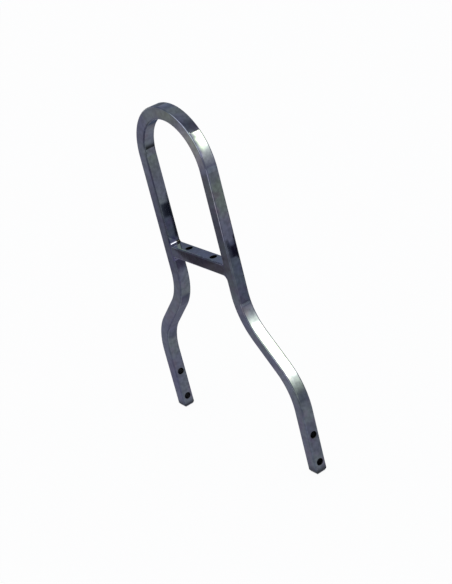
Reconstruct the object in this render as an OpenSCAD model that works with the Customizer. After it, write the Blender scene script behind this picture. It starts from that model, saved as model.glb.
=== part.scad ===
// Sissy bar: one square bar bent into a hoop with two splayed legs, and a square crossbar welded
// between the uprights. It stands in the XZ plane: X runs across, Z up and -Y is the front.
// The origin is on the ground line midway between the two leg ends, at mid depth.

/* [Bar stock] */
// Side of the square bar, the same for the hoop and the crossbar
bar = 15.9; // [12:0.1:20]
// Radius of the bar's four long edges
edge_r = 1.8; // [0.5:0.1:3]

/* [Hoop] */
// Distance between the centrelines of the two uprights
upright_spacing = 127; // [100:1:150]
// Distance between the centrelines of the two legs
leg_spacing = 279.4; // [250:0.1:320]
// Straight length of a leg, from its end up to its lower bend
leg_length = 85; // [70:1:140]
// Angle between an upright and the slanted run that leads out to the leg
splay_angle = 45; // [30:1:55]
// Radius of the two bends in each leg, at the bar's centreline
bend_r = 72; // [30:1:85]
// Clear height of the window between the crossbar's top and the inside of the crown
window_h = 172.5; // [110:0.5:260]

/* [Crossbar] */
// Height of the crossbar's underside above the foot of the straight uprights
crossbar_rise = 23; // [12:0.5:60]

/* [Holes] */
// Diameter of the two mounting holes through each leg
leg_hole_d = 8.3; // [6:0.1:11]
// Distance from a leg's end to the centre of its lower hole
leg_hole_end = 15.5; // [10:0.5:20]
// Distance between the centres of the two holes in a leg
leg_hole_pitch = 38.1; // [20:0.1:45]
// Diameter of the two holes down through the crossbar
crossbar_hole_d = 8.3; // [6:0.1:11]
// Distance between the centres of the two holes in the crossbar
crossbar_hole_pitch = 50.8; // [25:0.1:70]
// Width of the small chamfer round every hole's mouth
hole_chamfer = 0.5; // [0.2:0.1:1]

/* [Ends and welds] */
// Width of the steep chamfer round each leg's sawn end
end_chamfer_w = 2; // [0.5:0.1:4]
// Height of that chamfer
end_chamfer_h = 4; // [0.5:0.1:8]
// Radius of the ground weld fillet under each end of the crossbar
lower_weld_r = 6; // [3:0.5:10]
// Radius of the weld fillet on top of each end of the crossbar
upper_weld_r = 3.5; // [2:0.5:8]

/* [Hidden] */
$fn = 96;

chrome = [0.33, 0.34, 0.40];
overshoot = 1; // how far a cutting shape runs past the surface it cuts
weld_toe = 0.5; // how far short of its tangent point a weld fillet stops

upright_x = upright_spacing / 2;
leg_x = leg_spacing / 2;
upright_face_x = upright_x - bar / 2;

// Heights, stacked up from the leg ends
bend_tangent = bend_r * tan(splay_angle / 2);
splay_run = (leg_x - upright_x) / sin(splay_angle) - 2 * bend_tangent;
splay_rise = (leg_x - upright_x) / tan(splay_angle);
upright_z = leg_length + 2 * bend_tangent + splay_rise;
crossbar_bottom_z = upright_z + crossbar_rise;
crossbar_top_z = crossbar_bottom_z + bar;
crown_z = crossbar_top_z + window_h - upright_face_x;

// Section of the bar: a square with rounded corners, centred
module bar_section() {
    flat = bar - 2 * edge_r;
    square([bar, flat], center = true);
    square([flat, bar], center = true);
    for (x = [-flat / 2, flat / 2])
        for (y = [-flat / 2, flat / 2])
            translate([x, y]) circle(r = edge_r);
}

// Straight length of bar, up from the origin
module straight(length) {
    linear_extrude(length) bar_section();
}

// Arc of bar in the XZ plane, centred on the origin, counted from +X towards +Z
module arc(radius, start, angle) {
    rotate([90, 0, 0])
        rotate([0, 0, start])
            rotate_extrude(angle = angle)
                translate([radius, 0]) bar_section();
}

// Straight run of bar down from the origin, with what follows it at its lower end
module run(length) {
    translate([0, 0, -length]) {
        straight(length);
        children();
    }
}

// Bend that swings the bar out towards +X, or back for a negative angle, with what follows it
module turn(angle) {
    centre_x = sign(angle) * bend_r;
    translate([centre_x, 0, 0]) {
        arc(bend_r, angle > 0 ? 180 : angle, abs(angle));
        rotate([0, -angle, 0]) translate([-centre_x, 0, 0]) children();
    }
}

// Through hole along Z, centred on a bar, with a chamfer at each mouth
module drilled_hole(d) {
    cylinder(d = d, h = bar + 2 * overshoot, center = true);
    for (end = [0, 180])
        rotate([end, 0, 0])
            translate([0, 0, bar / 2 - hole_chamfer])
                cylinder(r1 = d / 2, r2 = d / 2 + hole_chamfer + overshoot, h = hole_chamfer + overshoot);
}

// Wedges that chamfer the four edges of a bar's lower end, which lies at the origin
module end_trim() {
    below = overshoot * end_chamfer_w / end_chamfer_h;
    beside = overshoot * end_chamfer_h / end_chamfer_w;
    for (side = [0 : 90 : 270])
        rotate([0, 0, side])
            translate([bar / 2, 0, 0])
                rotate([90, 0, 0])
                    linear_extrude(bar + 2 * overshoot, center = true)
                        polygon([
                            [-end_chamfer_w - below, -overshoot],
                            [overshoot, end_chamfer_h + beside],
                            [overshoot, -overshoot]
                        ]);
}

// Right side of the hoop, bent in order from the end of the crown down to the leg's end
module right_side() {
    translate([upright_x, 0, crown_z])
        run(crown_z - upright_z)
            turn(splay_angle)
                run(splay_run)
                    turn(-splay_angle)
                        run(leg_length);
}

// Holes and end chamfers of the right leg
module right_leg_cuts() {
    translate([leg_x, 0, 0]) end_trim();
    for (row = [0, 1])
        translate([leg_x, 0, leg_hole_end + row * leg_hole_pitch])
            rotate([0, 90, 0]) drilled_hole(leg_hole_d);
}

module hoop() {
    color(chrome)
        difference() {
            union() {
                right_side();
                mirror([1, 0, 0]) right_side();
                translate([0, 0, crown_z]) arc(upright_x, 0, 180);
            }
            right_leg_cuts();
            mirror([1, 0, 0]) right_leg_cuts();
        }
}

// The crossbar before it is drilled, from one upright's inner face to the other's
module crossbar_blank() {
    translate([-upright_face_x, 0, crossbar_bottom_z + bar / 2])
        rotate([0, 90, 0]) straight(2 * upright_face_x);
}

module crossbar() {
    color(chrome)
        difference() {
            crossbar_blank();
            for (side = [-1, 1])
                translate([side * crossbar_hole_pitch / 2, 0, crossbar_bottom_z + bar / 2])
                    drilled_hole(crossbar_hole_d);
        }
}

// What a concave fillet of radius r leaves clear round its own centre, at the origin, with the
// fillet's two long edges rounded like the bar's
module fillet_hollow(r) {
    rotate([90, 0, 0])
        rotate_extrude()
            difference() {
                translate([0, -bar]) square([r + edge_r, 2 * bar]);
                translate([r + bar / 2, 0]) bar_section();
            }
}

// Weld round the crossbar's right end: a fillet below, a fillet above and the seam at the front
// and back filled flush between the two bars' rounded edges
module right_weld_bead() {
    lower = lower_weld_r - weld_toe;
    upper = upper_weld_r - weld_toe;
    difference() {
        rotate([90, 0, 0])
            linear_extrude(bar, center = true) {
                translate([upright_face_x - lower, crossbar_bottom_z - lower])
                    square([lower + edge_r, lower + edge_r]);
                translate([upright_face_x - upper, crossbar_top_z - edge_r])
                    square([upper + edge_r, upper + edge_r]);
                translate([upright_face_x, crossbar_bottom_z])
                    square([edge_r, bar]);
            }
        translate([upright_face_x - lower_weld_r, 0, crossbar_bottom_z - lower_weld_r])
            fillet_hollow(lower_weld_r);
        translate([upright_face_x - upper_weld_r, 0, crossbar_top_z + upper_weld_r])
            fillet_hollow(upper_weld_r);
        translate([upright_x, 0, upright_z]) straight(crown_z - upright_z);
        crossbar_blank();
    }
}

module right_weld() {
    color(chrome) right_weld_bead();
}

module left_weld() {
    color(chrome) mirror([1, 0, 0]) right_weld_bead();
}

hoop();
crossbar();
left_weld();
right_weld();
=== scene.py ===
import math

import bpy
from mathutils import Matrix, Vector

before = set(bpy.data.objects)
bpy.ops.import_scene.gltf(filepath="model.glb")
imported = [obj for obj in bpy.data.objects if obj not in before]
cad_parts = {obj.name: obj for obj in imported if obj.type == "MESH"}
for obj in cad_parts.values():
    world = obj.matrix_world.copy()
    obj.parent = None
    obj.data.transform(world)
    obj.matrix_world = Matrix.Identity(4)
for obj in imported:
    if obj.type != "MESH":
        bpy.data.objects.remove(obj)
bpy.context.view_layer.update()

# Camera, fitted to the photograph's outline with the part at its own size. Azimuth 0 looks along +Y.
# Metres and degrees.
CAMERA_AIM = (0.02641, 0.00431, 0.21078)
CAMERA_DISTANCE = 1.6917
CAMERA_AZIMUTH = 59.51
CAMERA_ELEVATION = 24.747
CAMERA_ROLL = -14.357
CAMERA_LENS = 87.385  # mm, for a 36 mm sensor along the longer side of the picture
CAMERA_SENSOR = 36
CAMERA_CLIP = (0.01, 100)

# Floor and world
FLOOR_RADIUS = 9
FLOOR_CORNERS = 64
FLOOR_DROP = 0.0003  # how far the floor lies under the leg ends
FLOOR_ALBEDO = 0.85
FLOOR_GLOW = 0.95  # share of the floor's brightness that is plain white to the camera and in reflections
SKY_STEPS = (  # height of the view direction, and the sky's colour there
    (0.12, (1.0, 1.0, 1.0)),
    (0.34, (0.50, 0.57, 0.74)),
    (0.52, (0.50, 0.57, 0.74)),
    (0.74, (0.86, 0.88, 0.92)),
)

# Key softbox: a large sheet of light to the right of the part, parallel to its depth. It is full at
# the top, ends there in a sharp edge, and dies away downwards.
KEY_CENTRE = (1.95, 0.70, 1.162)
KEY_TILT = 35  # degrees, how far its face looks down
KEY_SIZE = (2.6, 2.79)
KEY_COLOUR = (1.0, 1.03, 0.66)
KEY_STRENGTH = 16
KEY_RATE = 6.2  # how fast it dies away, per height of the sheet
KEY_KNEE = 0.646  # share of its height above which it is full
KEY_SIDE_FADE = 0.2  # share of its width over which each side fades to clear

# Other sheets, and three small flags that stand close to the part's front edges: name, centre, point
# it faces, size, colour, strength, density, fades of the left, right, bottom and top edges
SHEETS = (
    (
        "dark_ceiling", (0.567, 0.9, 2.63), (0.05, 0.9, 0.39), (2.6, 1.67),
        (0.42, 0.44, 0.5), 1, 0.95, (0.2, 0.2, 0.45, 0.45),
    ),
    (
        "front_fill", (-0.4, -2.0, 1.15), (-0.4, 0.0, 0.90), (2.8, 2.1),
        (1, 1, 0.92), 4.5, 1, (0.15, 0.15, 0.12, 0.2),
    ),
    (
        "back_sheet", (-1.35, 0.78, 0.53), (0, 0, 0.53), (1.3, 0.90),
        (0.20, 0.23, 0.29), 1, 1, (0.2, 0.2, 0.1, 0.22),
    ),
    (
        "left_edge_flag", (-0.032, -0.030, 0.3125), (-0.032, 0, 0.3125), (0.088, 0.145),
        (0.36, 0.36, 0.44), 1, 0.95, (0.05, 0.05, 0.05, 0.15),
    ),
    (
        "crown_edge_flag", (0.0802, -0.0101, 0.4207), (-0.0064, -0.0101, 0.3707), (0.0398, 0.056),
        (1, 0.88, 1.10), 1.9, 0.90, (0.123, 0.05, 0.3, 0.05),
    ),
    (
        "crown_corner_flag", (0.0700, -0.00875, 0.4365), (-0.0166, -0.00875, 0.3865), (0.0425, 0.018),
        (1, 0.88, 1.10), 1.5, 0.80, (0.12, 0.05, 0.5, 0.1),
    ),
)

# Cards that lie just over the floor, each a step above the one before it: name, centre, size, angle,
# colour, strength, density, and the fade of all edges or of the left, right, bottom and top ones
CARD_STEP = 0.00005
CARDS = (
    ("front_sheet", (-0.70, -0.609), (2.2, 1.206), 0, (0.68, 0.68, 0.78), 1, 1, (0.02, 0.02, 0.02, 0.006)),
    ("left_sheet", (-0.29, -0.075), (0.36, 0.14), 0, (0.58, 0.58, 0.73), 1, 1, 0.1),
    ("bend_sheet", (-0.06, -0.127), (0.13, 0.05), 0, (0.82, 0.82, 0.93), 1, 0.9, 0.3),
    ("front_card", (-0.53, -0.365), (0.66, 0.26), 30, (0.38, 0.38, 0.41), 1, 1, 0.4),
    ("left_strip", (-0.750, -0.378), (0.60, 0.05), 28.4, (0.43, 0.42, 0.54), 1, 0.95, (0.5, 0.1, 0.2, 0.2)),
    ("upper_card", (-0.75, -0.495), (0.22, 0.06), 31, (0.50, 0.51, 0.47), 1, 0.85, 0.25),
    ("middle_card", (-0.5395, -0.3165), (0.155, 0.050), 13, (0.15, 0.125, 0.16), 1, 0.9, 0.1),
    ("right_card", (-0.455, -0.288), (0.09, 0.05), 0, (0.28, 0.23, 0.25), 1, 0.8, 0.3),
    ("low_fill", (-0.990, -0.628), (0.40, 0.14), 25, (1.3, 1.23, 1.07), 1, 1, 0.3),
    ("top_fill", (-1.20, -0.715), (0.20, 0.08), 15, (0.91, 0.92, 0.76), 1, 0.9, 0.3),
    ("arris_card", (0.72, -0.38), (0.62, 0.62), 0, (0.50, 0.50, 0.60), 1, 0.9, 0.12),
    ("arris_fill", (0.15, -1.05), (0.62, 0.80), 0, (3.2, 3.1, 2.6), 1, 1, 0.12),
    ("far_card", (1.30, 0.76), (1.35, 0.60), 31, (0.98, 1.02, 0.86), 1, 1, 0.1),
    ("far_light", (1.40, 0.82), (1.20, 0.60), 31, (1.22, 1.34, 1.20), 1, 1, (0.5, 0.1, 0.1, 0.1)),
    ("rear_card", (-0.02, 0.645), (1.16, 0.45), 0, (0, 0, 0), 0, 0.9, 0.1),
    ("crown_card", (-0.42, 0.315), (0.85, 0.26), -17.8, (0.13, 0.16, 0.25), 1, 1, (0.3, 0.42, 0.3, 0.3)),
    ("leg_card", (0.215, 0.045), (0.12, 0.07), 35, (0.72, 0.68, 0.84), 1, 0.8, 0.3),
    ("slant_card", (-0.18, 0.085), (0.12, 0.16), 0, (0.32, 0.33, 0.43), 1, 1, 0.3),
    ("low_bend_card", (-0.12, 0.058), (0.10, 0.04), 0, (0.50, 0.50, 0.66), 1, 0.9, 0.25),
    ("high_bend_card", (-0.085, 0.092), (0.17, 0.05), 0, (0.36, 0.36, 0.50), 1, 0.9, 0.25),
    ("start_card", (0.305, 0.276), (0.22, 0.05), 17.5, (0, 0, 0), 0, 0.85, (0.7, 0.06, 0.25, 0.25)),
    ("under_card", (-0.34, 0.045), (0.22, 0.13), 0, (0.15, 0.14, 0.17), 1, 0.9, 0.2),
    ("left_light", (-0.095, -0.055), (0.07, 0.10), 0, (0.95, 0.95, 1.10), 1, 1, 0.2),
    ("right_light", (0.210, -0.100), (0.14, 0.19), 0, (0.95, 0.95, 1.10), 1, 1, 0.2),
    # Two dark cards under the feet: painted contact shadows of the legs, seen in reflections
    ("left_foot_shadow", (-0.1397, 0.002), (0.042, 0.042), 0, (0.04, 0.04, 0.05), 1, 0.8, 0.3),
    ("right_foot_shadow", (0.1397, 0.002), (0.042, 0.042), 0, (0.04, 0.04, 0.05), 1, 0.8, 0.3),
)

# Cards that stand to the right of the part, across X, each a step nearer to it than the one before:
# name, spans of Y and Z, colour, density, fades of the front, back, bottom and top edges
SIDE_X = 0.27
SIDE_CARDS = (
    ("side_blue", (0.112, 0.150), (0.100, 0.195), (0.52, 0.55, 0.68), 0.92, (0.04, 0.1, 0.1, 0.06)),
    ("side_back", (0.150, 0.192), (0.100, 0.178), (0.52, 0.55, 0.68), 0.92, (0.1, 0.05, 0.1, 0.06)),
    ("side_bend", (0.085, 0.1125), (0.100, 0.174), (0.45, 0.46, 0.56), 0.92, (0.1, 0.02, 0.1, 0.06)),
    ("side_dim", (0.15, 0.195), (0.055, 0.155), (0.42, 0.44, 0.56), 0.9, (0.3, 0.1, 0.15, 0.1)),
    ("side_under", (0.160, 0.195), (0.064, 0.090), (0.33, 0.30, 0.38), 1, (0.2, 0.2, 0.3, 0.3)),
    ("side_streak", (0.110, 0.140), (0.168, 0.189), (0.03, 0.02, 0.06), 0.95, (0.35, 0.05, 0.1, 0.25)),
    ("side_tip", (0.111, 0.1185), (0.181, 0.199), (0.10, 0.10, 0.14), 0.7, (0.3, 0.3, 0.2, 0.3)),
    ("side_edge", (0.1238, 0.14), (0.164, 0.203), (0.03, 0.02, 0.06), 0.95, (0.1, 0.1, 0.1, 0.15)),
    ("side_stripe", (0.168, 0.190), (0.150, 0.1765), (0.0, 0.0, 0.03), 0.88, (0.4, 0.05, 0.15, 0.15)),
    ("side_strip", (0.1826, 0.190), (0.112, 0.191), (0.0, 0.0, 0.03), 0.95, (0.25, 0.1, 0.1, 0.1)),
    ("side_low", (0.03, 0.105), (0.055, 0.175), (0.55, 0.55, 0.68), 0.9, (0.1, 0.1, 0.2, 0.67)),
)

# Centre line of the bar, as the part's source has it
UPRIGHT_X = 0.0635
LEG_X = 0.1397
CROWN_Z = 0.376697
SLANT_MIDDLE = (0.1016, 0.1529)  # halfway down the slanted run

# Bores: radius within which the metal is rougher and darkened with painted shade, and the places of the
# holes
BORE_R = 0.0047
LEG_HOLE_REACH = 0.0100  # how far in from a leg's centre line its rough bore zones with painted shade go
LEG_HOLE_Z = (0.0155, 0.0536)
CROSSBAR_HOLE_X = 0.0254
CROSSBAR_Z = (0.2430, 0.2610)  # heights between which the crossbar's holes lie

# Painted shade on the uprights' inner faces, just above the crossbar
JOINT_SHADE_X = 0.0555  # about where those faces lie
JOINT_SHADE_REACH = 0.0010  # how near to them the zone stays
JOINT_SHADE_RISE = (0.256, 0.260)  # heights over which it starts
JOINT_SHADE_FALL = (0.264, 0.274)  # heights over which it ends
JOINT_SHADE_BACK = (0.0, 0.004)  # depths over which it ends
JOINT_SHADE_COLOUR = (0.030, 0.032, 0.100)
JOINT_SHADE_SHARE = 0.75

# Noises: features per metre, and levels of detail
CLOUD_NOISE = (24, 3)
STAIN_NOISE = (60, 2)
FLECK_NOISE = (200, 2)
STREAK_NOISE = (1500, 2)
WAVE_NOISE = (30, 1)
WELD_NOISE = (500, 3)

# Spans of each noise's value over which its effect sets in
CLOUD_SPAN = (0.38, 0.62)
STAIN_SPAN = (0.50, 0.75)
FLECK_SPAN = (0.3, 0.7)
STREAK_SPAN = (0.45, 0.75)
WELD_SPAN = (0.35, 0.7)

# Dark chrome
CHROME_COOL = (0.088, 0.095, 0.140)
CHROME_GREY = (0.104, 0.122, 0.138)
CHROME_PLUM = (0.100, 0.094, 0.132)
# Painted shade that darkens the bores to near black
BORE_SHADE_COLOUR = (0.004, 0.004, 0.005)
FLECK_VALUE = (0.84, 1.16)  # how far the flecks darken and lighten the plating
STREAK_LEAN = 0.4  # how much of X counts beside Z as length along the bar
STREAK_RATE = 0.012  # how fast the streaks change along the bar, against across it
CHROME_ROUGHNESS = (0.03, 0.09)  # smooth, and worn in the streaks
BORE_ROUGHNESS = 0.45
WAVE_HEIGHT = 0.00008

# Weld metal
WELD_COLOUR = (0.085, 0.085, 0.146)
# Painted shade on the back of the weld
WELD_SHADE_COLOUR = (0.006, 0.006, 0.008)
WELD_SHADE_FROM = (0.0005, 0.0030)  # depth over which painted shade turns the weld near black towards the back
WELD_ROUGHNESS = (0.05, 0.12)
WELD_HEIGHT = 0.00002


def new_material(name):
    """An empty node material, with its node tree."""
    material = bpy.data.materials.new(name)
    material.use_nodes = True
    tree = material.node_tree
    tree.nodes.clear()
    return material, tree


def coordinates(tree, kind):
    """Texture coordinates of one kind. Returns the outputs of the vector and of its X, Y and Z."""
    vector = tree.nodes.new("ShaderNodeTexCoord").outputs[kind]
    split = tree.nodes.new("ShaderNodeSeparateXYZ")
    tree.links.new(vector, split.inputs[0])
    return (vector, *split.outputs)


def math_node(tree, operation, a, b=None):
    """A math node on two inputs, each a number or a socket. Returns its output."""
    node = tree.nodes.new("ShaderNodeMath")
    node.operation = operation
    for socket, value in zip(node.inputs, (a, b)):
        if value is None:
            continue
        if isinstance(value, (int, float)):
            socket.default_value = value
        else:
            tree.links.new(value, socket)
    return node.outputs[0]


def ramp_node(tree, value, start, end, low=0.0, high=1.0):
    """A smooth step of a value from low at start to high at end. Returns its output."""
    node = tree.nodes.new("ShaderNodeMapRange")
    node.interpolation_type = "SMOOTHSTEP"
    tree.links.new(value, node.inputs["Value"])
    node.inputs["From Min"].default_value = start
    node.inputs["From Max"].default_value = end
    node.inputs["To Min"].default_value = low
    node.inputs["To Max"].default_value = high
    return node.outputs["Result"]


def mix_colour(tree, share, first, second):
    """A mix of two colours, each three numbers or a socket. Returns its output."""
    node = tree.nodes.new("ShaderNodeMix")
    node.data_type = "RGBA"
    tree.links.new(share, node.inputs[0])
    for socket, value in ((node.inputs[6], first), (node.inputs[7], second)):
        if isinstance(value, tuple):
            socket.default_value = (*value, 1)
        else:
            tree.links.new(value, socket)
    return node.outputs[2]


def distance_node(tree, a, b):
    """The length of a two-number vector. Returns its output."""
    squares = math_node(tree, "ADD", math_node(tree, "MULTIPLY", a, a), math_node(tree, "MULTIPLY", b, b))
    return math_node(tree, "SQRT", squares)


def noise_node(tree, vector, scale, detail):
    """Smooth noise of about 0.5, at a scale in features per metre. Returns its output."""
    node = tree.nodes.new("ShaderNodeTexNoise")
    node.inputs["Scale"].default_value = scale
    node.inputs["Detail"].default_value = detail
    tree.links.new(vector, node.inputs["Vector"])
    return node.outputs["Fac"]


def mixed_surface(tree, share, first, second):
    """Makes the material's surface a mix of two shader nodes."""
    mix = tree.nodes.new("ShaderNodeMixShader")
    output = tree.nodes.new("ShaderNodeOutputMaterial")
    tree.links.new(share, mix.inputs[0])
    tree.links.new(first.outputs[0], mix.inputs[1])
    tree.links.new(second.outputs[0], mix.inputs[2])
    tree.links.new(mix.outputs[0], output.inputs["Surface"])


def metal_surface(tree, tint, rough, relief, height):
    """Makes the material's surface metal, with a relief of at most the height given."""
    bump = tree.nodes.new("ShaderNodeBump")
    bump.inputs["Strength"].default_value = 1
    bump.inputs["Distance"].default_value = height
    tree.links.new(relief, bump.inputs["Height"])
    shader = tree.nodes.new("ShaderNodeBsdfPrincipled")
    shader.inputs["Metallic"].default_value = 1
    tree.links.new(tint, shader.inputs["Base Color"])
    tree.links.new(rough, shader.inputs["Roughness"])
    tree.links.new(bump.outputs[0], shader.inputs["Normal"])
    output = tree.nodes.new("ShaderNodeOutputMaterial")
    tree.links.new(shader.outputs[0], output.inputs["Surface"])


def add_object(name, vertices, faces):
    """A mesh object made from plain vertices and faces."""
    mesh = bpy.data.meshes.new(name)
    mesh.from_pydata(vertices, [], faces)
    mesh.update()
    made = bpy.data.objects.new(name, mesh)
    bpy.context.scene.collection.objects.link(made)
    return made


def make_camera():
    """The camera at the photograph's viewing angle, with its roll about the line of sight."""
    data = bpy.data.cameras.new("camera")
    data.lens = CAMERA_LENS
    data.sensor_width = CAMERA_SENSOR
    data.sensor_fit = "AUTO"
    data.clip_start, data.clip_end = CAMERA_CLIP
    camera = bpy.data.objects.new("camera", data)
    turn = (
        Matrix.Rotation(math.radians(CAMERA_AZIMUTH), 3, "Z")
        @ Matrix.Rotation(math.radians(90 - CAMERA_ELEVATION), 3, "X")
        @ Matrix.Rotation(math.radians(CAMERA_ROLL), 3, "Z")
    )
    back = turn @ Vector((0, 0, 1))
    place = Vector(CAMERA_AIM) + back * CAMERA_DISTANCE
    camera.matrix_world = Matrix.Translation(place) @ turn.to_4x4()
    bpy.context.scene.collection.objects.link(camera)
    bpy.context.scene.camera = camera


def make_floor():
    """A wide white floor that keeps a soft shadow of the part."""
    ring = [2 * math.pi * i / FLOOR_CORNERS for i in range(FLOOR_CORNERS)]
    floor = add_object(
        "floor",
        [(FLOOR_RADIUS * math.cos(a), FLOOR_RADIUS * math.sin(a), -FLOOR_DROP) for a in ring],
        [tuple(range(FLOOR_CORNERS))],
    )
    material, tree = new_material("floor")
    diffuse = tree.nodes.new("ShaderNodeBsdfDiffuse")
    diffuse.inputs["Color"].default_value = (FLOOR_ALBEDO, FLOOR_ALBEDO, FLOOR_ALBEDO, 1)
    glow = tree.nodes.new("ShaderNodeEmission")
    rays = tree.nodes.new("ShaderNodeLightPath")
    seen = math_node(tree, "MAXIMUM", rays.outputs["Is Camera Ray"], rays.outputs["Is Glossy Ray"])
    seen = math_node(tree, "MAXIMUM", seen, rays.outputs["Is Transmission Ray"])
    share = math_node(tree, "MULTIPLY", seen, FLOOR_GLOW)
    mixed_surface(tree, share, diffuse, glow)
    floor.data.materials.append(material)


def make_world():
    """A soft sky: white at the horizon, blue-grey above it and light again overhead."""
    world = bpy.data.worlds.new("world")
    bpy.context.scene.world = world
    world.use_nodes = True
    tree = world.node_tree
    tree.nodes.clear()
    _, _, _, upward = coordinates(tree, "Generated")
    colour = SKY_STEPS[0][1]
    for (low, _), (high, above) in zip(SKY_STEPS, SKY_STEPS[1:]):
        colour = mix_colour(tree, ramp_node(tree, upward, low, high), colour, above)
    background = tree.nodes.new("ShaderNodeBackground")
    tree.links.new(colour, background.inputs["Color"])
    output = tree.nodes.new("ShaderNodeOutputWorld")
    tree.links.new(background.outputs[0], output.inputs["Surface"])


def add_panel(name, size, place, colour, strength, density, fades, rate=None, knee=None):
    """A flat studio panel that shows in reflections alone. fades gives the shares of its width and
    height over which its left, right, bottom and top edges fade to clear. With a rate it also dies
    away exponentially below the knee."""
    half_width, half_height = size[0] / 2, size[1] / 2
    panel = add_object(
        name,
        [
            (-half_width, -half_height, 0),
            (half_width, -half_height, 0),
            (half_width, half_height, 0),
            (-half_width, half_height, 0),
        ],
        [(0, 1, 2, 3)],
    )
    panel.matrix_world = place
    material, tree = new_material(name)
    _, x, y, _ = coordinates(tree, "Generated")
    edges = (x, math_node(tree, "SUBTRACT", 1, x), y, math_node(tree, "SUBTRACT", 1, y))
    mask = math_node(tree, "ADD", density, 0)
    for distance, fade in zip(edges, fades):
        if fade:
            mask = math_node(tree, "MULTIPLY", mask, ramp_node(tree, distance, 0, fade))
    if rate is not None:
        fall = math_node(tree, "MULTIPLY", math_node(tree, "SUBTRACT", y, knee), rate)
        fall = math_node(tree, "MINIMUM", math_node(tree, "EXPONENT", fall), 1)
        mask = math_node(tree, "MULTIPLY", mask, fall)
    glow = tree.nodes.new("ShaderNodeEmission")
    glow.inputs["Color"].default_value = (*colour, 1)
    glow.inputs["Strength"].default_value = strength
    clear = tree.nodes.new("ShaderNodeBsdfTransparent")
    mixed_surface(tree, mask, clear, glow)
    panel.data.materials.append(material)
    panel.visible_camera = False
    panel.visible_diffuse = False
    panel.visible_shadow = False
    panel.visible_volume_scatter = False


def facing(centre, aim):
    """The place of a panel that stands at centre and faces aim."""
    turn = (Vector(aim) - Vector(centre)).to_track_quat("Z", "Y")
    return Matrix.Translation(centre) @ turn.to_matrix().to_4x4()


def make_studio():
    """The key softbox, the other sheets and flags, the cards over the floor and the standing cards."""
    tilt = math.radians(KEY_TILT)
    ahead = Vector((-math.cos(tilt), 0, -math.sin(tilt)))
    add_panel(
        "key_softbox",
        KEY_SIZE,
        facing(KEY_CENTRE, Vector(KEY_CENTRE) + ahead),
        KEY_COLOUR,
        KEY_STRENGTH,
        1,
        (KEY_SIDE_FADE, KEY_SIDE_FADE, 0, 0),
        KEY_RATE,
        KEY_KNEE,
    )
    for name, centre, aim, size, colour, strength, density, fades in SHEETS:
        add_panel(name, size, facing(centre, aim), colour, strength, density, fades)
    height = 0
    for name, centre, size, angle, colour, strength, density, fade in CARDS:
        height += CARD_STEP
        place = Matrix.Translation((*centre, height)) @ Matrix.Rotation(math.radians(angle), 4, "Z")
        fades = fade if isinstance(fade, tuple) else (fade,) * 4
        add_panel(name, size, place, colour, strength, density, fades)
    standing = Matrix(((0, 0, 1, 0), (1, 0, 0, 0), (0, 1, 0, 0), (0, 0, 0, 1)))
    near = 0
    for name, across, up, colour, density, fades in SIDE_CARDS:
        near += CARD_STEP
        centre = (SIDE_X - near, sum(across) / 2, sum(up) / 2)
        size = (across[1] - across[0], up[1] - up[0])
        add_panel(name, size, Matrix.Translation(centre) @ standing, colour, 1, density, fades)


def bore_mask(tree, x, y, z):
    """1 inside the holes of the legs and the crossbar, 0 on the plated faces."""
    beside = math_node(tree, "ABSOLUTE", x)
    on_leg = math_node(tree, "GREATER_THAN", beside, LEG_X - LEG_HOLE_REACH)
    mask = None
    for height in LEG_HOLE_Z:
        reach = distance_node(tree, y, math_node(tree, "SUBTRACT", z, height))
        hole = math_node(tree, "MULTIPLY", math_node(tree, "LESS_THAN", reach, BORE_R), on_leg)
        mask = hole if mask is None else math_node(tree, "MAXIMUM", mask, hole)
    above = math_node(tree, "GREATER_THAN", z, CROSSBAR_Z[0])
    below = math_node(tree, "LESS_THAN", z, CROSSBAR_Z[1])
    reach = distance_node(tree, math_node(tree, "SUBTRACT", beside, CROSSBAR_HOLE_X), y)
    hole = math_node(tree, "MULTIPLY", math_node(tree, "LESS_THAN", reach, BORE_R), above)
    hole = math_node(tree, "MULTIPLY", hole, below)
    return math_node(tree, "MAXIMUM", mask, hole)


def joint_shade_mask(tree, x, y, z):
    """How strongly painted shade darkens the uprights' inner faces just above the crossbar."""
    beside = math_node(tree, "ABSOLUTE", x)
    away = math_node(tree, "ABSOLUTE", math_node(tree, "SUBTRACT", beside, JOINT_SHADE_X))
    inner = math_node(tree, "LESS_THAN", away, JOINT_SHADE_REACH)
    mask = math_node(tree, "MULTIPLY", inner, ramp_node(tree, z, *JOINT_SHADE_RISE))
    mask = math_node(tree, "MULTIPLY", mask, ramp_node(tree, z, *JOINT_SHADE_FALL, 1, 0))
    mask = math_node(tree, "MULTIPLY", mask, ramp_node(tree, y, *JOINT_SHADE_BACK, 1, 0))
    return math_node(tree, "MULTIPLY", mask, JOINT_SHADE_SHARE)


def offset_from_path(tree, x, z):
    """How far out from the bar's centre line a point lies, for streaks that run along the bar."""
    beside = math_node(tree, "ABSOLUTE", x)
    over = math_node(tree, "MAXIMUM", math_node(tree, "SUBTRACT", z, CROWN_Z), 0)
    upright = math_node(tree, "SUBTRACT", distance_node(tree, x, over), UPRIGHT_X)
    along_x = math_node(tree, "SUBTRACT", beside, SLANT_MIDDLE[0])
    along_z = math_node(tree, "SUBTRACT", z, SLANT_MIDDLE[1])
    slant = math_node(tree, "MULTIPLY", math_node(tree, "ADD", along_x, along_z), math.sqrt(0.5))
    leg = math_node(tree, "SUBTRACT", beside, LEG_X)
    return math_node(tree, "MAXIMUM", math_node(tree, "MINIMUM", upright, slant), leg)


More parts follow.
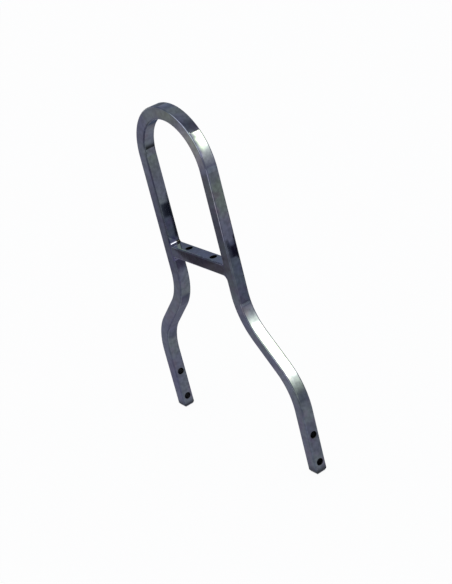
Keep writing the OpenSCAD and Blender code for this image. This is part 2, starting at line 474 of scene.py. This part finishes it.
def dark_chrome():
    """Dark mirror chrome with clouds, stains and flecks of colour, faint lengthwise streaks, a slight
    waviness, painted shade on the uprights' inner faces just above the crossbar, and rougher bores
    darkened to near black with painted shade."""
    material, tree = new_material("dark_chrome")
    place, x, y, z = coordinates(tree, "Object")
    bore = bore_mask(tree, x, y, z)

    cloud = ramp_node(tree, noise_node(tree, place, *CLOUD_NOISE), *CLOUD_SPAN)
    stain = ramp_node(tree, noise_node(tree, place, *STAIN_NOISE), *STAIN_SPAN)
    tint = mix_colour(tree, cloud, CHROME_COOL, CHROME_GREY)
    tint = mix_colour(tree, stain, tint, CHROME_PLUM)
    fleck = tree.nodes.new("ShaderNodeHueSaturation")
    speckle = noise_node(tree, place, *FLECK_NOISE)
    tree.links.new(ramp_node(tree, speckle, *FLECK_SPAN, *FLECK_VALUE), fleck.inputs["Value"])
    tree.links.new(tint, fleck.inputs["Color"])
    # Painted shade on the uprights' inner faces just above the crossbar
    tint = mix_colour(tree, joint_shade_mask(tree, x, y, z), fleck.outputs[0], JOINT_SHADE_COLOUR)
    # Painted shade darkens the bores to near black
    tint = mix_colour(tree, bore, tint, BORE_SHADE_COLOUR)

    length = math_node(tree, "ADD", z, math_node(tree, "MULTIPLY", x, STREAK_LEAN))
    grain = tree.nodes.new("ShaderNodeCombineXYZ")
    tree.links.new(offset_from_path(tree, x, z), grain.inputs[0])
    tree.links.new(y, grain.inputs[1])
    tree.links.new(math_node(tree, "MULTIPLY", length, STREAK_RATE), grain.inputs[2])
    streak = noise_node(tree, grain.outputs[0], *STREAK_NOISE)
    worn = ramp_node(tree, streak, *STREAK_SPAN, *CHROME_ROUGHNESS)
    rough = math_node(tree, "MAXIMUM", worn, math_node(tree, "MULTIPLY", bore, BORE_ROUGHNESS))

    wave = noise_node(tree, place, *WAVE_NOISE)
    metal_surface(tree, tint, rough, wave, WAVE_HEIGHT)
    return material


def dark_weld():
    """Ground weld metal under the same plating: darker and rougher, with painted shade turning it near
    black towards the back.
    """
    material, tree = new_material("dark_weld")
    place, _, y, _ = coordinates(tree, "Object")
    # Painted shade: the weld turns near black towards the back
    tint = mix_colour(tree, ramp_node(tree, y, *WELD_SHADE_FROM), WELD_COLOUR, WELD_SHADE_COLOUR)
    speck = noise_node(tree, place, *WELD_NOISE)
    rough = ramp_node(tree, speck, *WELD_SPAN, *WELD_ROUGHNESS)
    metal_surface(tree, tint, rough, speck, WELD_HEIGHT)
    return material


make_camera()
make_floor()
make_world()
make_studio()
chrome = dark_chrome()
weld = dark_weld()
for node, finish in (("hoop", chrome), ("crossbar", chrome), ("left_weld", weld), ("right_weld", weld)):
    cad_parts[node].material_slots[0].material = finish

bpy.context.scene.view_settings.view_transform = "Standard"
